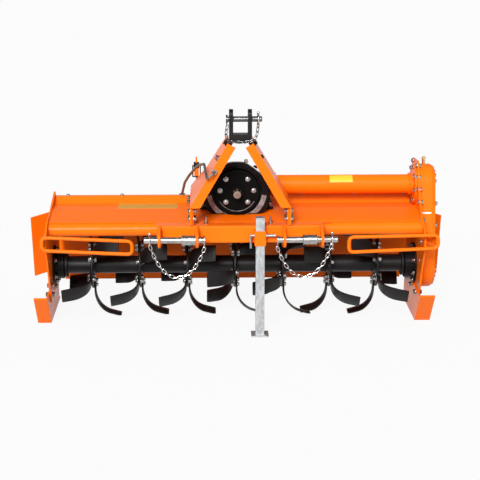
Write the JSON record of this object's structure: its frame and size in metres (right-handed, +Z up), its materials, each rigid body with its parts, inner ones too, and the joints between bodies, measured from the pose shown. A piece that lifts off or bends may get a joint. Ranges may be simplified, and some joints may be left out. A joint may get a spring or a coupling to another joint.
{
  "type": "tractor-mounted rotary tiller",
  "caption": "Three-point-hitch rotary tiller with a side-driven rotor of bent blades under a hood, hinged trailing board, skids and parking stand.",
  "frame": {"origin": "floor under the middle of the overall box, in the plane through the middle of the hitch and the rotor's axis", "axes": "+X to the machine's right, +Y to its rear, +Z up"},
  "size_m": [2.02, 0.7883, 1.039],
  "materials": {
    "orange_paint": "gloss paint",
    "black_paint": "satin paint",
    "zinc": "zinc plated",
    "galvanised": "galvanised",
    "bright_steel": "oiled bright steel",
    "brass": "turned"
  },
  "bodies": {
    "frame": {"front_tube": "orange_paint", "hitch_beam": "orange_paint", "end_plate_left": "orange_paint", "end_plate_right": "orange_paint", "lower_clevis_left": "orange_paint", "lower_clevis_right": "orange_paint", "lower_pin_left": "zinc", "lower_pin_right": "zinc", "pin_sleeves": "zinc", "linch_pins": "zinc", "chain_left": "zinc", "chain_right": "zinc", "chain_top": "zinc", "top_clevis": "black_paint", "top_pin": "zinc", "tower_cheek_left": "orange_paint", "tower_cheek_right": "orange_paint", "arm_feet": "black_paint", "gearbox_housing": "black_paint", "gearbox_cover": "black_paint", "side_shaft_tube": "orange_paint", "gear_case": "orange_paint", "breather": "brass", "deck": "orange_paint", "hinge_knuckles": "orange_paint", "hinge_rod": "zinc", "board_adjuster": "orange_paint", "bearing_left": "black_paint", "final_drive_hub_right": "black_paint", "stand_sleeve": "orange_paint", "stand_lock_pin": "zinc", "guard_left": "orange_paint", "guard_right": "orange_paint", "skid_left": "orange_paint", "skid_right": "orange_paint", "adjuster_bail": "black_paint", "shaft_rest_hook": "black_paint", "hook_socket": "zinc"},
    "board": {"trailing_board": "orange_paint"},
    "rotor": {"rotor_shaft": "black_paint", "tines": "black_paint"},
    "input": {"drive_stub": "bright_steel"},
    "stand": {"stand_leg": "galvanised"}
  },
  "joints": [
    {"name": "rotor_spin", "type": "hinge", "parent": "frame", "child": "rotor", "pos_m": [0, 0, 0.251], "axis": [1, 0, 0], "continuous": true},
    {"name": "input_spin", "type": "hinge", "parent": "frame", "child": "input", "pos_m": [-0.012, -0.19, 0.627], "axis": [0, 1, 0], "continuous": true},
    {"name": "board_lift", "type": "hinge", "parent": "frame", "child": "board", "pos_m": [0, 0.185, 0.537], "axis": [1, 0, 0], "range_deg": [0, 65]},
    {"name": "stand_slide", "type": "slide", "parent": "frame", "child": "stand", "axis": [0, 0, 1], "range_m": [0, 0.15]}
  ],
  "couplings": [
    {"joint": "input_spin", "follows": "rotor_spin", "ratio": -2.45}
  ]
}
